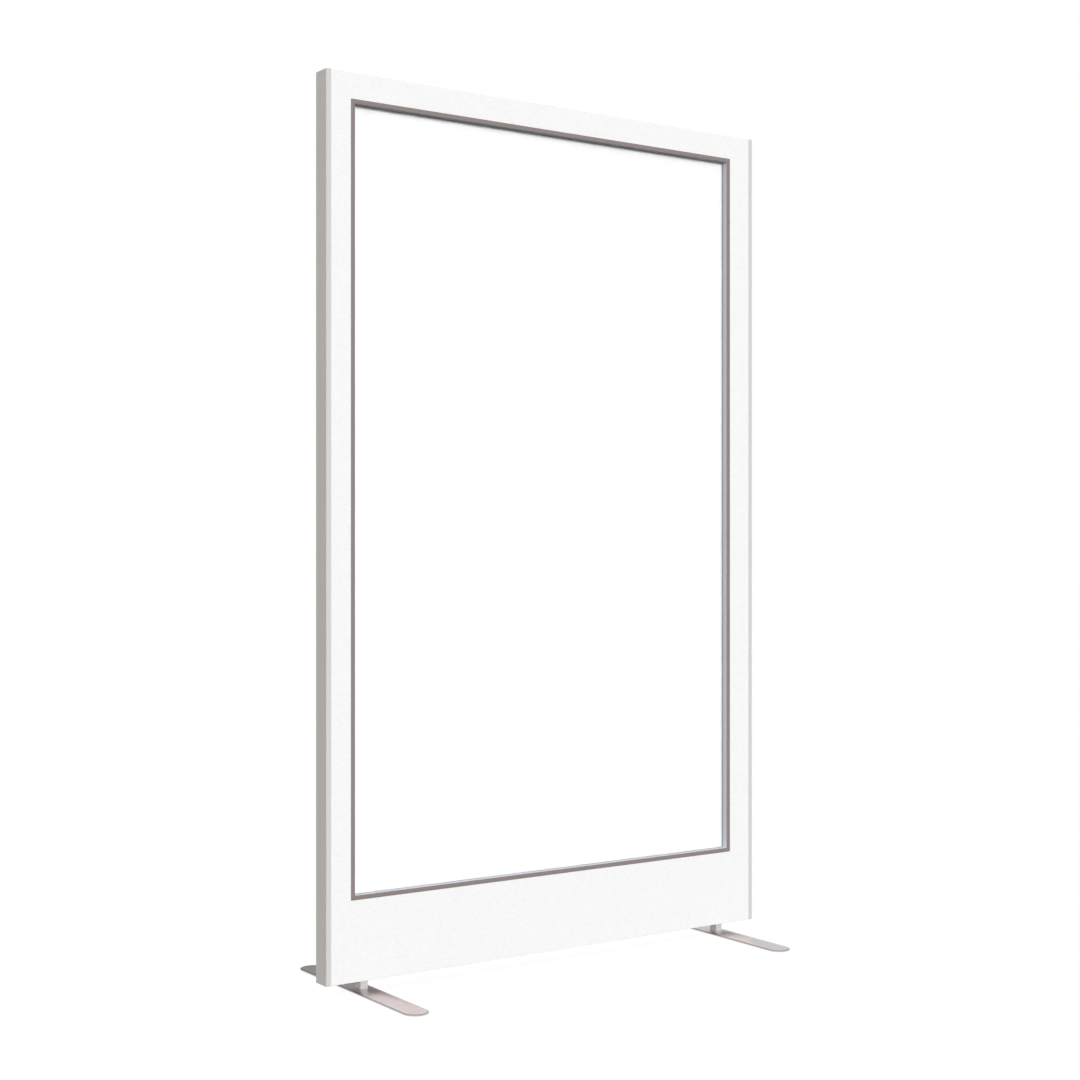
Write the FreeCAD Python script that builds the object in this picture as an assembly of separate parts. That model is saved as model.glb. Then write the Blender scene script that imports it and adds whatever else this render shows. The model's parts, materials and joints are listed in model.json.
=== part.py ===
"""Free-standing partition screen: a fabric-faced panel with a glazed window, on two crowned swivelling feet.

Millimetres. The origin is on the floor under the middle of the panel, +X runs along the panel's width,
-Y is the front and +Z is up.
"""
import FreeCAD
import Part

import math
import os

from FreeCAD import Vector

# Overall sizes
panel_width = 1000.0            # over the edge trims
overall_height = 1650.0         # floor to the panel's top edge
panel_thickness = 38.4          # over the fabric of both faces
floor_gap = 21.0                # floor to the panel's underside

# Window: from each edge of the panel to the outer edge of the bead
margin_left = 50.0
margin_right = 60.0
margin_top = 47.0
margin_bottom = 147.0

# Layers of each face
fabric_thickness = 1.0
board_thickness = 6.0
seam_gap = 0.4                  # between the two covers, along the middle of the top and bottom edges

# Edge trim: a channel with a barbed tongue that is pressed into the stile
trim_wall = 1.6
trim_lip = 9.5                  # width that shows on each face
trim_lip_thickness = 0.8
trim_corner = 1.0               # outer corner radius
trim_tongue_length = 12.0
trim_tongue_thickness = 3.0     # over the barbs
trim_tongue_barb_count = 4

# Barbs of tongues and fins, and the saw grooves that take them
barb_height = 0.35
groove_side_play = 0.1
groove_end_play = 0.5

# Glazing: pane in a U-section gasket, between a bead on each side
pane_thickness = 6.0
gasket_cheek = 4.0              # rubber on each side of the pane
gasket_base = 1.5               # rubber under the pane's edge
bead_width = 8.0                # width that shows on the face
bead_fin_length = 6.0
bead_fin_thickness = 1.6        # over the barbs
bead_fin_barb_count = 2

# Bead cap: a face strip that snaps into the bead
cap_thickness = 1.0
cap_crown = 0.6                 # how far its middle stands proud of the fabric
clip_width = 2.4
clip_depth = 2.0
clip_play = 0.1

# Dowels of the core frame
dowel_diameter = 8.0
dowel_length = 40.0
dowel_play = 0.05               # on the radius
top_joint_dowel_count = 2
bottom_joint_dowel_count = 2

# Foot plate: crowned across its width, with round ends and a bevelled rim
foot_length = 426.0
foot_width = 46.5
foot_inset = 82.0               # end of the panel to the foot's centre line
foot_edge = 2.1                 # height of the upright edge
foot_bevel = 1.6                # width of the rim's bevel
foot_bevel_rise = 0.8
foot_crown = 4.7                # height along the middle

# Foot post, which stands in a shallow seat in the plate
post_width = 15.0
post_depth = 20.0
post_corner = 0.8
post_seat = 0.8
post_seat_play = 0.05
swivel_gap = 0.25               # post to the panel's underside

# Foot bolt and the flanged insert that it turns in
bolt_diameter = 8.0
bolt_head_diameter = 14.0
bolt_head_recess = 0.4          # head to the floor
bolt_reach = 20.0               # into the panel
bolt_tip_chamfer = 1.0
bolt_hole_play = 0.2            # on the radius, in plate and post
thread_play = 0.06              # on the radius, in the insert
socket_width = 5.0              # across the flats
socket_depth = 2.5
insert_diameter = 14.0
insert_length = 25.0
insert_flange_diameter = 18.0
insert_play = 0.05

# Places that follow from the sizes
half_width = panel_width / 2
panel_bottom = floor_gap
panel_top = overall_height
face = panel_thickness / 2                              # middle plane to the fabric's surface
board_face = face - fabric_thickness
core_half = board_face - board_thickness
end_inside = half_width - trim_wall                     # the panel's own ends, inside the trims
frame_bottom = panel_bottom + fabric_thickness
frame_top = panel_top - fabric_thickness
window_left = margin_left - half_width
window_right = half_width - margin_right
window_bottom = panel_bottom + margin_bottom
window_top = panel_top - margin_top
glazing_half = pane_thickness / 2 + gasket_cheek
cap_seat = face - cap_thickness                         # middle plane to the seat of the cap on the bead
fin_middle = (glazing_half + core_half) / 2
foot_x = half_width - foot_inset
insert_top = frame_bottom + insert_length
everywhere = 4 * (panel_width + overall_height)         # longer than any piece, for cuts right through


def box(x_low, x_high, y_low, y_high, z_low, z_high):
    """Block between two corners."""
    size = (x_high - x_low, y_high - y_low, z_high - z_low)
    return Part.makeBox(*size, Vector(x_low, y_low, z_low))


def window_block(inset, y_low, y_high):
    """Block of the window's outline, drawn in on all sides by the inset."""
    return box(window_left + inset, window_right - inset, y_low, y_high,
               window_bottom + inset, window_top - inset)


def outline(start, *steps):
    """Closed wire: each step is the end of a line, or the pair (middle, end) of an arc."""
    edges = []
    here = start
    for step in steps + (start,):
        if isinstance(step, tuple):
            middle, there = step
            edges.append(Part.Arc(here, middle, there).toShape())
        else:
            there = step
            edges.append(Part.LineSegment(here, there).toShape())
        here = there
    return Part.Wire(edges)


def whole(shape):
    """The one solid of a finished shape, with faces in one plane joined."""
    return shape.removeSplitter().Solids[0]


def barbed_side(length, thickness, barbs):
    """Points along one side of a barbed tongue, from its root to its tip, as (along, half thickness)."""
    root = thickness / 2 - barb_height
    pitch = length / (barbs + 1)
    points = [(0.0, root)]
    for number in range(1, barbs + 1):
        points += [(number * pitch, root), (number * pitch, thickness / 2)]
    points.append((length, root))
    return points


def edge_trim(side):
    """Channel round one end of the panel: rounded outer corners, two lips and a barbed tongue."""
    def at(inwards, y):
        return Vector(side * (half_width - inwards), y, panel_bottom)

    outer = face + trim_lip_thickness
    bulge = trim_corner * (1 - math.sqrt(0.5))
    tongue = barbed_side(trim_tongue_length, trim_tongue_thickness, trim_tongue_barb_count)
    upper = [at(trim_wall + along, half) for along, half in tongue]
    lower = [at(trim_wall + along, -half) for along, half in reversed(tongue)]
    profile = outline(
        at(trim_lip, -outer),
        at(trim_corner, -outer),
        (at(bulge, bulge - outer), at(0, trim_corner - outer)),
        at(0, outer - trim_corner),
        (at(bulge, outer - bulge), at(trim_corner, outer)),
        at(trim_lip, outer),
        at(trim_lip, face),
        at(trim_wall, face),
        *upper,
        *lower,
        at(trim_wall, -face),
        at(trim_lip, -face))
    return Part.Face(profile).extrude(Vector(0, 0, panel_top - panel_bottom))


def tongue_groove(side):
    """Saw groove for the tongue of one trim, over the panel's whole height."""
    half = trim_tongue_thickness / 2 + groove_side_play
    tip = side * (end_inside - trim_tongue_length - groove_end_play)
    x_low, x_high = sorted((side * half_width, tip))
    return box(x_low, x_high, -half, half, panel_bottom, panel_top)


def fin_groove_depth():
    """Depth of the saw groove for a bead's fin."""
    return bead_fin_length + groove_end_play


def fin_grooves(x_low, x_high, z_low, z_high):
    """The two saw grooves for the fins of the front and the rear bead, over the given stretch."""
    half = bead_fin_thickness / 2 + groove_side_play
    front = box(x_low, x_high, -fin_middle - half, half - fin_middle, z_low, z_high)
    rear = box(x_low, x_high, fin_middle - half, fin_middle + half, z_low, z_high)
    return front.fuse(rear)


def spread(low, high, count):
    """Places that share a length evenly, with the same room at both ends."""
    return [low + (high - low) * (number + 1) / (count + 1) for number in range(count)]


def dowels(play, end_play):
    """All the dowels across the four corner joints, or the holes for them."""
    radius = dowel_diameter / 2 + play
    length = dowel_length + 2 * end_play
    heights = spread(window_top, frame_top, top_joint_dowel_count)
    heights += spread(insert_top, window_bottom, bottom_joint_dowel_count)
    return Part.makeCompound([
        Part.makeCylinder(radius, length, Vector(joint - length / 2, 0, height), Vector(1, 0, 0))
        for joint in (window_left, window_right)
        for height in heights])


def stile(side):
    """Upright of the core, with the groove for the trim's tongue outside and those for the beads inside."""
    edge = window_right if side > 0 else window_left
    x_low, x_high = sorted((side * end_inside, edge))
    post = box(x_low, x_high, -core_half, core_half, frame_bottom, frame_top)
    depth = fin_groove_depth()
    grooves = fin_grooves(edge - depth, edge + depth, window_bottom - depth, window_top + depth)
    holes = dowels(dowel_play, groove_end_play)
    return whole(post.cut(tongue_groove(side)).cut(grooves).cut(holes))


def rail(z_low, z_high, window_edge):
    """Level piece of the core between the stiles, grooved for the beads along its window edge."""
    bar = box(window_left, window_right, -core_half, core_half, z_low, z_high)
    depth = fin_groove_depth()
    grooves = fin_grooves(window_left, window_right, window_edge - depth, window_edge + depth)
    return bar.cut(grooves).cut(dowels(dowel_play, groove_end_play))


def bottom_rail():
    """Bottom rail with a hole for each foot's insert and bolt."""
    bar = rail(frame_bottom, window_bottom, window_bottom)
    for x in (-foot_x, foot_x):
        hole = Part.makeCylinder(insert_diameter / 2 + insert_play, insert_length + groove_end_play,
                                 Vector(x, 0, frame_bottom))
        bar = bar.cut(hole).cut(bolt_clearance(x))
    return whole(bar)


def mirrored(shape, side):
    """The shape itself on the rear, or its mirror image on the front."""
    return shape if side > 0 else shape.mirror(Vector(0, 0, 0), Vector(0, 1, 0))


def face_board(side):
    """Board of one face, with its window larger by the fabric that is turned in round it."""
    board = box(-end_inside, end_inside, core_half, board_face, frame_bottom, frame_top)
    return mirrored(whole(board.cut(window_block(-fabric_thickness, 0, face))), side)


def fabric_cover(side):
    """Bonded fabric of one face, turned over the top and bottom edges and into the window.

    The turned edges are slit for the trims' tongues and cut out round the inserts."""
    sheet = box(-end_inside, end_inside, seam_gap / 2, face, panel_bottom, panel_top)
    sheet = sheet.cut(box(-half_width, half_width, 0, board_face, frame_bottom, frame_top))
    turned_in = window_block(-fabric_thickness, core_half, board_face)
    cover = sheet.fuse(turned_in).cut(window_block(0, 0, 2 * face))
    for end in (-1, 1):
        x = end * foot_x
        cover = cover.cut(tongue_groove(end))
        cover = cover.cut(Part.makeCylinder(insert_flange_diameter / 2 + insert_play, floor_gap,
                                            Vector(x, 0, panel_bottom - fabric_thickness)))
    return mirrored(whole(cover), side)


def window_sides():
    """Name, first corner, direction along, direction inwards and length of each side of the window."""
    width = window_right - window_left
    height = window_top - window_bottom
    low_left = Vector(window_left, 0, window_bottom)
    return [
        ("bottom", low_left, Vector(1, 0, 0), Vector(0, 0, 1), width),
        ("top", low_left + Vector(0, 0, height), Vector(1, 0, 0), Vector(0, 0, -1), width),
        ("left", low_left, Vector(0, 0, 1), Vector(1, 0, 0), height),
        ("right", low_left + Vector(width, 0, 0), Vector(0, 0, 1), Vector(-1, 0, 0), height)]


def mitred(profile, corner, along, inwards, length):
    """Bar of the given profile along one side of the window, cut at 45 degrees at both ends."""
    def at(distance, depth, y):
        return corner + along * distance + inwards * depth + Vector(0, y, 0)

    reach = bead_fin_length + bead_width
    bar = Part.Face(profile(lambda depth, y: at(-reach, depth, y))).extrude(along * (length + 2 * reach))
    wedge = Part.Face(outline(
        at(-reach, -reach, 0),
        at(length + reach, -reach, 0),
        at(length - reach, reach, 0),
        at(reach, reach, 0)))
    return whole(bar.common(wedge.extrude(Vector(0, 2 * panel_thickness, 0))))


def bead_profile(at):
    """Section of a bead: a bar with a clip groove in its face and a barbed fin on its back."""
    middle = bead_width / 2
    half = clip_width / 2
    fin = barbed_side(bead_fin_length, bead_fin_thickness, bead_fin_barb_count)
    upper = [at(-along, fin_middle + thick) for along, thick in fin]
    lower = [at(-along, fin_middle - thick) for along, thick in reversed(fin)]
    return outline(
        at(0, glazing_half),
        at(bead_width, glazing_half),
        at(bead_width, cap_seat),
        at(middle + half, cap_seat),
        at(middle + half, cap_seat - clip_depth),
        at(middle - half, cap_seat - clip_depth),
        at(middle - half, cap_seat),
        at(0, cap_seat),
        *upper,
        *lower)


def cap_profile(at):
    """Section of a cap: a gently crowned strip with the clip that holds it in the bead."""
    middle = bead_width / 2
    half = clip_width / 2 - clip_play
    clip_end = cap_seat - clip_depth + clip_play
    return outline(
        at(0, cap_seat),
        at(middle - half, cap_seat),
        at(middle - half, clip_end),
        at(middle + half, clip_end),
        at(middle + half, cap_seat),
        at(bead_width, cap_seat),
        at(bead_width, face),
        (at(middle, face + cap_crown), at(0, face)))


def vision_pane():
    """Glazing sheet, seated in the gasket."""
    return window_block(gasket_base, -pane_thickness / 2, pane_thickness / 2)


def pane_gasket():
    """U-section rubber ring round the pane's edge, flush with the beads."""
    ring = window_block(0, -glazing_half, glazing_half)
    ring = ring.cut(window_block(bead_width, -everywhere, everywhere))
    return ring.cut(vision_pane())


def crown_height(distance):
    """Height of the plate's crowned top at a distance from its middle line."""
    half = foot_width / 2 - foot_bevel
    rise = foot_crown - foot_edge - foot_bevel_rise
    radius = (half ** 2 + rise ** 2) / (2 * rise)
    return foot_crown - radius + math.sqrt(radius ** 2 - distance ** 2)


def foot_plate(x):
    """Crowned plate with round ends: a swept section, and half of it turned about each end's centre."""
    half = foot_width / 2
    top_half = half - foot_bevel
    shoulder = foot_edge + foot_bevel_rise
    straight = foot_length / 2 - half

    def at(across, y, z):
        return Vector(x + across, y, z)

    section = outline(
        at(-half, -straight, 0),
        at(half, -straight, 0),
        at(half, -straight, foot_edge),
        at(top_half, -straight, shoulder),
        (at(0, -straight, foot_crown), at(-top_half, -straight, shoulder)),
        at(-half, -straight, foot_edge))
    plate = Part.Face(section).extrude(Vector(0, 2 * straight, 0))
    for end in (-1, 1):
        y = end * straight
        half_section = outline(
            at(0, y, 0),
            at(half, y, 0),
            at(half, y, foot_edge),
            at(top_half, y, shoulder),
            (at(top_half / 2, y, crown_height(top_half / 2)), at(0, y, foot_crown)))
        turned = Part.Face(half_section).revolve(at(0, y, 0), Vector(0, 0, 1), end * 180)
        plate = plate.fuse(turned)
    seat = post_block(x, foot_crown - post_seat, floor_gap, post_seat_play)
    return whole(plate.cut(seat).cut(bolt_clearance(x)))


def post_block(x, z_low, z_high, play):
    """Block with the post's rounded outline, larger on each side by the play."""
    half_x = post_width / 2 + play
    half_y = post_depth / 2 + play
    block = box(x - half_x, x + half_x, -half_y, half_y, z_low, z_high)
    upright = [edge for edge in block.Edges if abs(edge.tangentAt(edge.FirstParameter).z) > 0.5]
    return block.makeFillet(post_corner, upright)


def foot_post(x):
    """Post between the plate's seat and the panel's underside, bored for the bolt."""
    block = post_block(x, foot_crown - post_seat, floor_gap - swivel_gap, 0)
    return whole(block.cut(bolt_clearance(x)))


def turned_bolt(x, play, recess):
    """Countersunk bolt turned from its half section, larger all round by the play."""
    radius = bolt_diameter / 2 + play
    head_radius = bolt_head_diameter / 2 + play
    head_top = bolt_head_recess + head_radius - radius
    tip = panel_bottom + bolt_reach + play

    def at(out, z):
        return Vector(x + out, 0, z)

    section = outline(
        at(0, recess),
        at(head_radius, recess),
        at(head_radius, bolt_head_recess),
        at(radius, head_top),
        at(radius, tip - bolt_tip_chamfer),
        at(radius - bolt_tip_chamfer, tip),
        at(0, tip))
    return Part.Face(section).revolve(Vector(x, 0, 0), Vector(0, 0, 1), 360)


def bolt_clearance(x):
    """Room for one foot's bolt through plate, post and panel, open to the floor."""
    return turned_bolt(x, bolt_hole_play, -floor_gap)


def foot_bolt(x):
    """Countersunk bolt with a hexagon socket in its head."""
    head_rim = bolt_head_recess / 2
    bolt = turned_bolt(x, 0, head_rim)
    corner = socket_width / math.sqrt(3)
    turns = [math.pi * number / 3 for number in range(6)]
    hexagon = [Vector(x + corner * math.cos(turn), corner * math.sin(turn), head_rim) for turn in turns]
    socket = Part.Face(outline(*hexagon)).extrude(Vector(0, 0, socket_depth))
    return whole(bolt.cut(socket))


def foot_insert(x):
    """Flanged insert in the bottom rail, its flange level with the fabric."""
    bore = bolt_diameter / 2 + thread_play

    def at(out, z):
        return Vector(x + out, 0, z)

    section = outline(
        at(bore, panel_bottom),
        at(insert_flange_diameter / 2, panel_bottom),
        at(insert_flange_diameter / 2, frame_bottom),
        at(insert_diameter / 2, frame_bottom),
        at(insert_diameter / 2, insert_top),
        at(bore, insert_top))
    return Part.Face(section).revolve(Vector(x, 0, 0), Vector(0, 0, 1), 360)


def all_nodes():
    """Every piece by name."""
    nodes = {
        "top_rail": whole(rail(window_top, frame_top, window_top)),
        "bottom_rail": bottom_rail(),
        "frame_dowels": dowels(0, 0),
        "vision_pane": vision_pane(),
        "pane_gasket": pane_gasket()}
    for name, side in (("left", -1), ("right", 1)):
        x = side * foot_x
        nodes[name + "_stile"] = stile(side)
        nodes[name + "_edge_trim"] = edge_trim(side)
        nodes[name + "_foot_plate"] = foot_plate(x)
        nodes[name + "_foot_post"] = foot_post(x)
        nodes[name + "_foot_bolt"] = foot_bolt(x)
        nodes[name + "_foot_insert"] = foot_insert(x)
    for name, side in (("front", -1), ("rear", 1)):
        nodes[name + "_face_board"] = face_board(side)
        nodes[name + "_fabric_cover"] = fabric_cover(side)
        for edge, *place in window_sides():
            nodes[name + "_bead_" + edge] = mirrored(mitred(bead_profile, *place), side)
            nodes[name + "_cap_" + edge] = mirrored(mitred(cap_profile, *place), side)
    return nodes


def main():
    os.makedirs("parts", exist_ok=True)
    for name, shape in all_nodes().items():
        shape.exportStep("parts/" + name + ".step")


main()
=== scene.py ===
"""Looks of the partition screen: woven white covers, satin trims, a frosted pane and metal feet.

Metres. +X runs along the panel's width, -Y is the front and +Z is up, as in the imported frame.
"""

import json
import math

import bmesh
import bpy
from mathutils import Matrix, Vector


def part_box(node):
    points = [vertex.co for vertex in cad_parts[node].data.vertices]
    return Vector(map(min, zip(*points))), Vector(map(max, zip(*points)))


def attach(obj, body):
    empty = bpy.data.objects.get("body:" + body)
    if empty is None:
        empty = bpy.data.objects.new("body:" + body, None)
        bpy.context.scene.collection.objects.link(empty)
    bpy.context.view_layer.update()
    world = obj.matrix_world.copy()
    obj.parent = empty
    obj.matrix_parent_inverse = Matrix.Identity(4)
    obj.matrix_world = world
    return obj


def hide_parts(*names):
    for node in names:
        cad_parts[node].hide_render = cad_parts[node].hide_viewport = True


MM = 0.001

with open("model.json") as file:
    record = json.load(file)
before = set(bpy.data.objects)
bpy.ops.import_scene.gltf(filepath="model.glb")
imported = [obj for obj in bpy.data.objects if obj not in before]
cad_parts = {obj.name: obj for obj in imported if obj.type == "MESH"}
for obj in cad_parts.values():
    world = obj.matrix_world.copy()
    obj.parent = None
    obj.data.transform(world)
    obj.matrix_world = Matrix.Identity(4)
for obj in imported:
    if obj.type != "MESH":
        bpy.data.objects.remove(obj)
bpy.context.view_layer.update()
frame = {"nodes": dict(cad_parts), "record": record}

# Camera, fitted to the photograph's edges; the focal length is in pixels of its frame
PHOTO_WIDTH = 1080
FOCAL_PIXELS = 1782.4
SENSOR_WIDTH = 36.0
CAMERA_PLACE = (-1.9878, -2.8314, 0.8133)
CAMERA_TURN = math.radians(34.722)

# Studio: light for diffuse surfaces, as the share of white that a white surface facing it would show.
# The upright faces' lamps stand low, so that the reveals throw little shadow on the pane.
AMBIENT = 0.30
WHITE = (1.0, 1.0, 1.0)
LAMPS = {                       # share, where it comes from, tint
    "key": (0.87, (-0.28, -0.95, 0.14), (0.985, 0.99, 1.0)),
    "fill": (0.14, (-0.94, -0.30, 0.14), (1.0, 0.82, 0.64)),
    "back": (0.82, (-0.05, 0.99, 0.14), WHITE),
    "side": (0.40, (0.98, 0.12, 0.14), WHITE),
    "top": (0.32, (0.0, 0.0, 1.0), WHITE)}
SOFT_ANGLE = math.radians(14)
FLOOR_SIZE = 60.0
FLOOR_DEPTH = 0.4 * MM          # below the feet, so that the two faces never share a plane
FLOOR_GLOW = 0.965              # light of its own where the floor is seen
FLOOR_SHADOW_SHARE = 0.05       # share of the seen floor that takes shadows
FLOOR_BOUNCE = (0.14, 0.135, 0.13)

# Two cards behind the screen, seen only in mirrored rays, so in the metal feet
CARD_DISTANCE = 1.2
CARD_HEIGHT = 1.2
CARD_ENDS = (-1.6, 1.05, 3.2)
CARD_SHADES = ((0.30, 0.30, 0.30), (0.72, 0.83, 0.83))

# Foot plate: height of its upright edge, and the band inside its outline that the bevel takes; both are
# painted darker as shade
FOOT_EDGE = 2.1 * MM
BEVEL_INNER = 1.9 * MM
BEVEL_OUTER = 1.4 * MM
EDGE_BLUR = 0.1 * MM

# Fabric covers
FOLD_RADIUS = 0.6 * MM
FOLD_STEPS = 6
CLOTH_THICKNESS = 1.0 * MM
NOTCH_STEPS = 16
THREAD_PERIOD = 2.4 * MM        # two threads of the weave
TONGUE_HALF_NOTCH = 1.6 * MM    # half of the slit that the trim's tongue passes
FLANGE_CLEARANCE = 0.05 * MM    # round the flange of a foot's insert


def node(tree, kind, inputs=None, **settings):
    """New shader node; inputs are plain values or other nodes' outputs, by socket name or number."""
    made = tree.nodes.new("ShaderNode" + kind)
    for name, value in settings.items():
        setattr(made, name, value)
    for name, value in (inputs or {}).items():
        if isinstance(value, bpy.types.NodeSocket):
            tree.links.new(value, made.inputs[name])
        else:
            made.inputs[name].default_value = value
    return made


def math_node(tree, operation, *values):
    """Output of a math node over the given values."""
    return node(tree, "Math", dict(enumerate(values)), operation=operation).outputs[0]


def colour(red, green, blue):
    """Shader colour from linear red, green and blue."""
    return (red, green, blue, 1.0)


def new_material(name, **sockets):
    """Material with one Principled shader whose uniform values are set on its own sockets."""
    material = bpy.data.materials.new(name)
    material.use_nodes = True
    shader = material.node_tree.nodes["Principled BSDF"]
    for socket, value in sockets.items():
        shader.inputs[socket.replace("_", " ")].default_value = value
    return material, material.node_tree, shader


def object_place(tree):
    """Coordinates that stay with the piece when it moves."""
    return node(tree, "TexCoord").outputs["Object"]


def stretched(tree, place, scale):
    """Coordinates scaled apart along X, Y and Z."""
    return node(tree, "Mapping", {"Vector": place, "Scale": scale}).outputs["Vector"]


def noise(tree, place, scale, detail=2.0, roughness=0.5):
    """Soft noise from 0 to 1 with about the given number of features per metre."""
    made = node(tree, "TexNoise", {"Vector": place, "Scale": scale, "Detail": detail, "Roughness": roughness})
    return made.outputs["Fac"]


def ranged(tree, value, low, high, to_low, to_high):
    """Value mapped from one range to another, held at the ends."""
    made = node(tree, "MapRange", {"Value": value, "From Min": low, "From Max": high,
                                   "To Min": to_low, "To Max": to_high})
    return made.outputs["Result"]


def blended(tree, share, first, second):
    """Colour between two others."""
    made = node(tree, "Mix", {"Factor": share}, data_type="RGBA")
    for number, value in ((6, first), (7, second)):
        if isinstance(value, bpy.types.NodeSocket):
            tree.links.new(value, made.inputs[number])
        else:
            made.inputs[number].default_value = value
    return made.outputs[2]


def bumped(tree, shader, height, distance, strength=1.0):
    """Gives a shader a bump of the given depth in metres."""
    bump = node(tree, "Bump", {"Height": height, "Distance": distance, "Strength": strength})
    tree.links.new(bump.outputs["Normal"], shader.inputs["Normal"])


def feed(tree, shader, socket, value):
    """Links a varying value to a shader's socket."""
    tree.links.new(value, shader.inputs[socket])


def seen_share(tree):
    """1 where the studio is seen, directly, mirrored or through glass, and 0 where it only sheds light."""
    path = node(tree, "LightPath").outputs
    seen = math_node(tree, "MAXIMUM", path["Is Camera Ray"], path["Is Glossy Ray"])
    seen = math_node(tree, "MAXIMUM", seen, path["Is Transmission Ray"])
    return math_node(tree, "MULTIPLY", seen, math_node(tree, "LESS_THAN", path["Diffuse Depth"], 0.5))


def white_fabric():
    """Fine plain weave, white with a faint mottle of thicker and thinner yarn."""
    material, tree, shader = new_material(
        "white_fabric", Roughness=0.92, Specular_IOR_Level=0.12, Sheen_Weight=0.03, Sheen_Roughness=0.5)
    place = object_place(tree)
    across = node(tree, "SeparateXYZ", {"Vector": place}).outputs
    turn = 2 * math.pi / THREAD_PERIOD
    warp, weft = [math_node(tree, "MULTIPLY", math_node(tree, "ADD", across[axis], across[1]), turn)
                  for axis in (0, 2)]
    weave = math_node(tree, "MULTIPLY", math_node(tree, "SINE", warp), math_node(tree, "SINE", weft))
    yarn = noise(tree, place, 190, 3, 0.6)
    fleck = noise(tree, place, 420, 1)
    mottle = math_node(tree, "ADD", math_node(tree, "MULTIPLY", yarn, 0.35),
                       math_node(tree, "MULTIPLY", fleck, 0.65))
    shade = ranged(tree, mottle, 0.35, 0.65, 0.0, 1.0)
    feed(tree, shader, "Base Color",
         blended(tree, shade, colour(0.835, 0.836, 0.837), colour(0.922, 0.922, 0.922)))
    height = math_node(tree, "ADD", weave, math_node(tree, "MULTIPLY", yarn, 1.5))
    bumped(tree, shader, height, 0.05 * MM)
    return material


def satin(name, light, dark, roughness, grain, depth, **sockets):
    """Even satin surface with a fine grain; the grain's scale is in features per metre along X, Y and Z."""
    material, tree, shader = new_material(name, **sockets)
    place = stretched(tree, object_place(tree), grain)
    texture = noise(tree, place, 1.0, 3, 0.6)
    shade = ranged(tree, texture, 0.3, 0.7, 0.0, 1.0)
    feed(tree, shader, "Base Color", blended(tree, shade, colour(*dark), colour(*light)))
    feed(tree, shader, "Roughness", ranged(tree, texture, 0.3, 0.7, roughness - 0.05, roughness + 0.05))
    bumped(tree, shader, texture, depth)
    return material


def frosted_pane():
    """White frosted glass that lets part of the light through, with a fine etched grain."""
    material, tree, shader = new_material(
        "pane", IOR=1.45, Transmission_Weight=0.2, Subsurface_Weight=1.0,
        Subsurface_Radius=(1, 1, 1), Subsurface_Scale=6 * MM)
    place = object_place(tree)
    grain = noise(tree, place, 700, 2)
    cloud = noise(tree, place, 5, 1)
    feed(tree, shader, "Base Color", blended(tree, cloud, colour(0.985, 0.985, 0.985), colour(1, 1, 1)))
    feed(tree, shader, "Roughness", ranged(tree, grain, 0.3, 0.7, 0.32, 0.40))
    bumped(tree, shader, grain, 0.01 * MM)
    return material


def wood(name, light, dark, along):
    """Planed wood with its grain along X, Y or Z."""
    material, tree, shader = new_material(name, Roughness=0.7)
    place = object_place(tree)
    scale = [160.0, 160.0, 160.0]
    scale[along] = 6.0
    grain = noise(tree, stretched(tree, place, scale), 1.0, 4, 0.6)
    shade = ranged(tree, grain, 0.3, 0.7, 0.0, 1.0)
    feed(tree, shader, "Base Color", blended(tree, shade, colour(*dark), colour(*light)))
    bumped(tree, shader, grain, 0.1 * MM)
    return material


def foot_metal():
    """Satin metal, brushed along the foot, with painted shade on its bevelled rim and upright edge."""
    low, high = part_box("right_foot_plate")
    middle = (low + high) / 2
    half = (high.x - low.x) / 2
    straight = high.y - half
    material, tree, shader = new_material("foot_plate", Metallic=1.0)
    place = object_place(tree)
    across = node(tree, "SeparateXYZ", {"Vector": place}).outputs
    off_line = math_node(tree, "SUBTRACT", math_node(tree, "ABSOLUTE", across[0]), middle.x)
    past_end = math_node(tree, "SUBTRACT", math_node(tree, "ABSOLUTE", across[1]), straight)
    past_end = math_node(tree, "MAXIMUM", past_end, 0.0)
    reach = math_node(tree, "SQRT", math_node(tree, "ADD", math_node(tree, "POWER", off_line, 2.0),
                                              math_node(tree, "POWER", past_end, 2.0)))
    # Painted shade: the band inside the plate's outline turns to the darker edge colours
    painted_rim_shade = ranged(tree, reach, half - BEVEL_INNER, half - BEVEL_OUTER, 0.0, 1.0)
    brush = noise(tree, stretched(tree, place, (900, 8, 900)), 1.0, 3, 0.6)
    shade = ranged(tree, brush, 0.3, 0.7, 0.0, 1.0)
    top = blended(tree, shade, colour(0.71, 0.61, 0.605), colour(0.77, 0.67, 0.665))
    # Painted shade: the upright side is darker than the top, and the bevel just above it darker still
    upright = ranged(tree, across[2], FOOT_EDGE - EDGE_BLUR, FOOT_EDGE + EDGE_BLUR, 1.0, 0.0)
    edge = blended(tree, upright, colour(0.30, 0.28, 0.275), colour(0.56, 0.52, 0.515))
    feed(tree, shader, "Base Color", blended(tree, painted_rim_shade, top, edge))
    feed(tree, shader, "Roughness", ranged(tree, brush, 0.3, 0.7, 0.30, 0.38))
    bumped(tree, shader, brush, 0.01 * MM)
    return material


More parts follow.
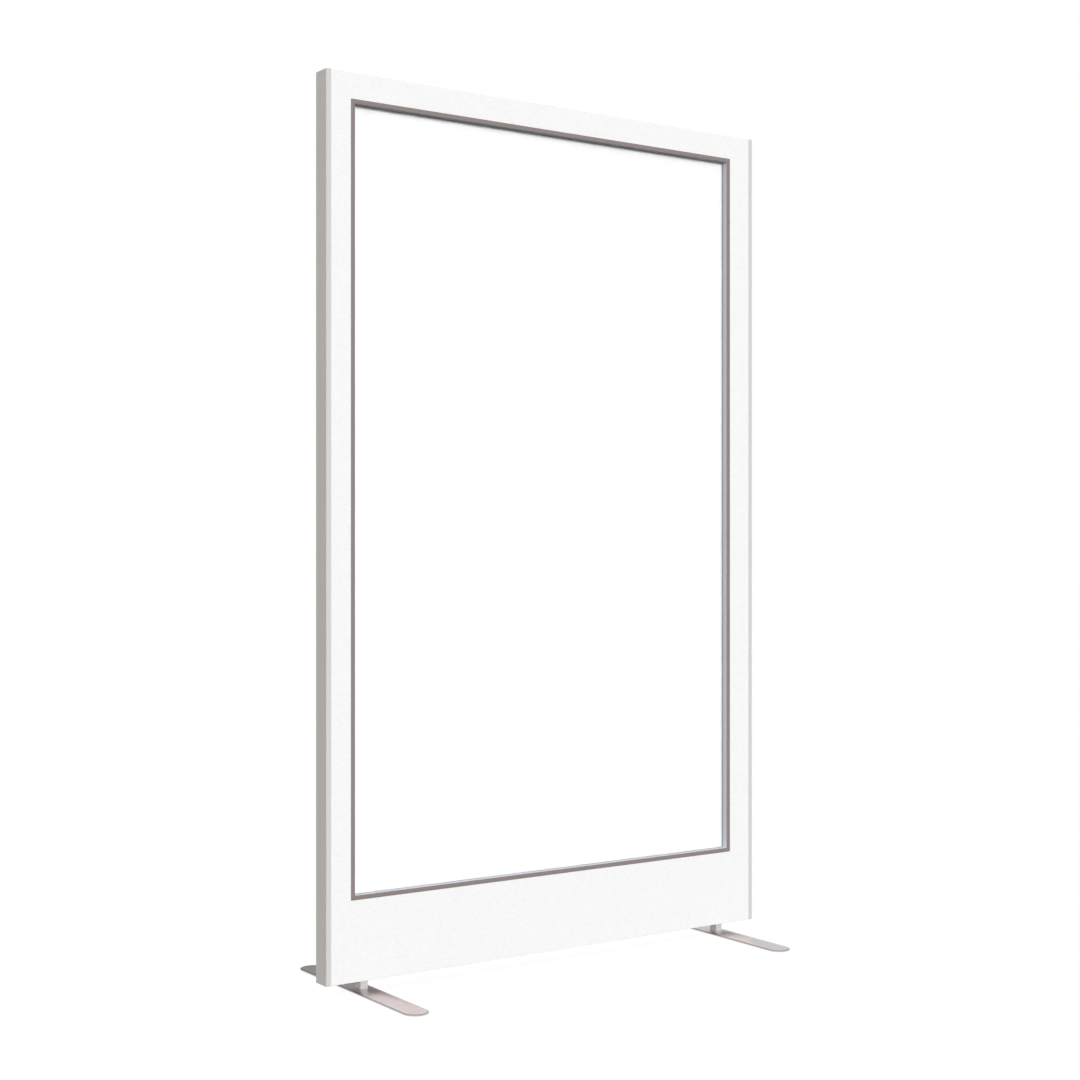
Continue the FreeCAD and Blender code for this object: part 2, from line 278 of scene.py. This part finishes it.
def slot_materials():
    """Finish of every material slot of the record."""
    return {
        "white_fabric": white_fabric(),
        "edge_trim": satin("edge_trim", (0.642, 0.636, 0.629), (0.612, 0.606, 0.599), 0.5, (700, 700, 5),
                           0.01 * MM, Specular_IOR_Level=0.1),
        "bead": satin("bead", (0.73, 0.765, 0.845), (0.70, 0.735, 0.815), 0.6, (300, 300, 300),
                      0.01 * MM, Specular_IOR_Level=0.05),
        "bead_cap": satin("bead_cap", (0.26, 0.225, 0.218), (0.24, 0.206, 0.199), 0.4, (900, 900, 900),
                          0.01 * MM, Specular_IOR_Level=0.15),
        "pane": frosted_pane(),
        "gasket": satin("gasket", (0.44, 0.475, 0.53), (0.41, 0.445, 0.50), 0.7, (500, 500, 500),
                        0.02 * MM, Specular_IOR_Level=0.05),
        "foot_plate": foot_metal(),
        "foot_post": satin("foot_post", (0.60, 0.60, 0.60), (0.56, 0.56, 0.56), 0.4, (700, 700, 20),
                           0.01 * MM, Specular_IOR_Level=0.15),
        "fastener": satin("fastener", (0.45, 0.45, 0.46), (0.40, 0.40, 0.41), 0.35, (600, 600, 600),
                          0.01 * MM, Metallic=1.0),
        "insert": satin("insert", (0.74, 0.60, 0.32), (0.68, 0.54, 0.27), 0.3, (60, 60, 1500),
                        0.01 * MM, Metallic=1.0),
        "face_board": wood("face_board", (0.42, 0.30, 0.18), (0.36, 0.25, 0.15), 2),
        "core_timber": wood("core_timber", (0.52, 0.36, 0.19), (0.42, 0.27, 0.13), 2),
        "dowel": wood("dowel", (0.55, 0.40, 0.23), (0.47, 0.33, 0.18), 0)}


def dress_nodes(materials):
    """Gives every CAD node the finish of its slot."""
    for part in frame["record"]["subparts"]:
        shown = frame["nodes"][part["node"]]
        shown.data.materials.clear()
        shown.data.materials.append(materials[part["material_slot"]])
    pane = frame["nodes"]["vision_pane"]
    pane.visible_shadow = False
    pane.visible_diffuse = False    # no bounce from the pane on to the reveals round it


def fold_profile(face, turned_to, radius):
    """Points from the flat face round a fold, as (distance to the edge, height from the middle plane)."""
    angles = [math.pi / 2 * step / FOLD_STEPS for step in range(FOLD_STEPS + 1)]
    points = [(radius * (1 - math.sin(angle)), face - radius * (1 - math.cos(angle))) for angle in angles]
    return points + [(0.0, turned_to)]


def flap_edge(low, high, seam, side_notch, half_notch, round_notches, round_radius):
    """Free edge of a turned flap from its low to its high end, as (x, y), with slits and round notches."""
    points = [(low, half_notch), (low + side_notch, half_notch), (low + side_notch, seam)]
    for middle in round_notches:
        start = math.asin(seam / round_radius)
        for step in range(NOTCH_STEPS + 1):
            angle = math.pi - start - (math.pi - 2 * start) * step / NOTCH_STEPS
            points.append((middle + round_radius * math.cos(angle), round_radius * math.sin(angle)))
    return points + [(high - side_notch, seam), (high - side_notch, half_notch), (high, half_notch)]


def fabric_cover(name, side, material):
    """Cover of one face: flat round the window, folded over the top and bottom edges and into the window."""
    node_name = name + "_fabric_cover"
    low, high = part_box(node_name)
    board_low, board_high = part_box(name + "_face_board")
    face = max(abs(low.y), abs(high.y))
    seam = min(abs(low.y), abs(high.y))
    turned_to = min(abs(board_low.y), abs(board_high.y))
    window_low = Vector((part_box(name + "_cap_left")[0].x, 0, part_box(name + "_cap_bottom")[0].z))
    window_high = Vector((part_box(name + "_cap_right")[1].x, 0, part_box(name + "_cap_top")[1].z))
    flange_low, flange_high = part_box("right_foot_insert")
    flange_radius = (flange_high.x - flange_low.x) / 2 + FLANGE_CLEARANCE
    flange_x = (flange_high.x + flange_low.x) / 2
    tongue_reach = high.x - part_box("right_edge_trim")[0].x

    bm = bmesh.new()

    def point(x, y, z):
        return bm.verts.new((x, side * y, z))

    def panel(*corners):
        return bm.faces.new(corners if side > 0 else corners[::-1])

    # Rings round the window, from the flat face inwards
    rings = []
    for expand, y in fold_profile(face, turned_to, FOLD_RADIUS):
        left, right = window_low.x - expand, window_high.x + expand
        bottom, top = window_low.z - expand, window_high.z + expand
        corners = ((left, bottom), (right, bottom), (right, top), (left, top))
        rings.append([point(x, y, z) for x, z in corners])
    for outer, inner in zip(rings, rings[1:]):
        for this in range(4):
            after = (this + 1) % 4
            panel(outer[after], outer[this], inner[this], inner[after])

    # Flat face: corners of the outer edge against the first ring
    edge = [(low.x, low.z + FOLD_RADIUS), (high.x, low.z + FOLD_RADIUS),
            (high.x, high.z - FOLD_RADIUS), (low.x, high.z - FOLD_RADIUS)]
    border = [point(x, face, z) for x, z in edge]
    for this in range(4):
        after = (this + 1) % 4
        panel(border[after], border[this], rings[0][this], rings[0][after])

    # Flaps over the top and bottom edges
    for first, second, z_edge, inwards, notches in ((border[0], border[1], low.z, 1, (-flange_x, flange_x)),
                                                    (border[2], border[3], high.z, -1, ())):
        row = [first, second]
        for expand, y in fold_profile(face, face - FOLD_RADIUS, FOLD_RADIUS)[1:-1]:
            z = z_edge + inwards * expand
            new_row = [point(row[0].co.x, y, z), point(row[1].co.x, y, z)]
            panel(row[0], row[1], new_row[1], new_row[0])
            row = new_row
        free = flap_edge(low.x, high.x, seam, tongue_reach, TONGUE_HALF_NOTCH, notches, flange_radius)
        if inwards > 0:
            free = free[::-1]
        panel(row[0], row[1], *[point(x, y, z_edge) for x, y in free])

    bmesh.ops.recalc_face_normals(bm, faces=bm.faces)
    mesh = bpy.data.meshes.new(name + "_cover")
    bm.to_mesh(mesh)
    bm.free()
    cover = bpy.data.objects.new(name + "_cover", mesh)
    bpy.context.scene.collection.objects.link(cover)
    mesh.materials.append(material)
    thickness = cover.modifiers.new("cloth", "SOLIDIFY")
    thickness.thickness = CLOTH_THICKNESS
    thickness.offset = -1
    thickness.use_even_offset = True
    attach(cover, "panel")
    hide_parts(node_name)
    return cover


def studio_world():
    """White wherever it is seen, and a dimmer even light on diffuse surfaces."""
    world = bpy.data.worlds.new("studio")
    world.use_nodes = True
    tree = world.node_tree
    background = tree.nodes["Background"]
    background.inputs["Color"].default_value = colour(1, 1, 1)
    feed(tree, background, "Strength", ranged(tree, seen_share(tree), 0, 1, AMBIENT, 1))
    bpy.context.scene.world = world


def lamp(name, share, comes_from, tint):
    """Broad distant lamp that lights a white surface facing it to the given share of white."""
    data = bpy.data.lights.new(name, "SUN")
    data.energy = share * math.pi
    data.angle = SOFT_ANGLE
    data.color = tint
    lamp_object = bpy.data.objects.new(name, data)
    lamp_object.visible_glossy = False
    lamp_object.rotation_euler = Vector(comes_from).to_track_quat("Z", "Y").to_euler()
    bpy.context.scene.collection.objects.link(lamp_object)


def white_floor():
    """Pale floor: white with soft shadows where it is seen, and a weak bounce of light elsewhere."""
    half = FLOOR_SIZE / 2
    mesh = bpy.data.meshes.new("floor")
    mesh.from_pydata([(-half, -half, -FLOOR_DEPTH), (half, -half, -FLOOR_DEPTH),
                      (half, half, -FLOOR_DEPTH), (-half, half, -FLOOR_DEPTH)], [], [(0, 1, 2, 3)])
    floor = bpy.data.objects.new("floor", mesh)
    bpy.context.scene.collection.objects.link(floor)
    material = bpy.data.materials.new("floor")
    material.use_nodes = True
    tree = material.node_tree
    tree.nodes.clear()
    share = FLOOR_SHADOW_SHARE
    shadowed = node(tree, "BsdfDiffuse", {"Color": colour(share, share, share)}).outputs[0]
    glow = node(tree, "Emission", {"Color": colour(1, 1, 1), "Strength": FLOOR_GLOW}).outputs[0]
    bounce = node(tree, "BsdfDiffuse", {"Color": colour(*FLOOR_BOUNCE)}).outputs[0]
    seen = node(tree, "AddShader", {0: shadowed, 1: glow}).outputs[0]
    either = node(tree, "MixShader", {0: seen_share(tree), 1: bounce, 2: seen}).outputs[0]
    node(tree, "OutputMaterial", {"Surface": either})
    mesh.materials.append(material)


def card(name, left, right, shade):
    """Upright card behind the screen that only mirrored rays see."""
    y, top = CARD_DISTANCE, CARD_HEIGHT
    mesh = bpy.data.meshes.new(name)
    mesh.from_pydata([(left, y, 0), (right, y, 0), (right, y, top), (left, y, top)], [], [(0, 1, 2, 3)])
    shown = bpy.data.objects.new(name, mesh)
    bpy.context.scene.collection.objects.link(shown)
    for ray in ("camera", "diffuse", "transmission", "volume_scatter", "shadow"):
        setattr(shown, "visible_" + ray, False)
    material = bpy.data.materials.new(name)
    material.use_nodes = True
    tree = material.node_tree
    tree.nodes.clear()
    glow = node(tree, "Emission", {"Color": colour(*shade), "Strength": 1.0}).outputs[0]
    node(tree, "OutputMaterial", {"Surface": glow})
    mesh.materials.append(material)


def photo_camera():
    """Level camera at the photograph's viewpoint."""
    data = bpy.data.cameras.new("camera")
    data.sensor_width = SENSOR_WIDTH
    data.lens = FOCAL_PIXELS / PHOTO_WIDTH * SENSOR_WIDTH
    camera = bpy.data.objects.new("camera", data)
    camera.location = CAMERA_PLACE
    camera.rotation_euler = (math.pi / 2, 0, -CAMERA_TURN)
    bpy.context.scene.collection.objects.link(camera)
    bpy.context.scene.camera = camera


finishes = slot_materials()
dress_nodes(finishes)
for face_name, face_side in (("front", -1), ("rear", 1)):
    fabric_cover(face_name, face_side, finishes["white_fabric"])

studio_world()
for lamp_name, (lamp_share, lamp_from, lamp_tint) in LAMPS.items():
    lamp(lamp_name, lamp_share, lamp_from, lamp_tint)
white_floor()
card("grey_card", CARD_ENDS[0], CARD_ENDS[1], CARD_SHADES[0])
card("pale_card", CARD_ENDS[1], CARD_ENDS[2], CARD_SHADES[1])
photo_camera()
bpy.context.scene.view_settings.view_transform = "Standard"
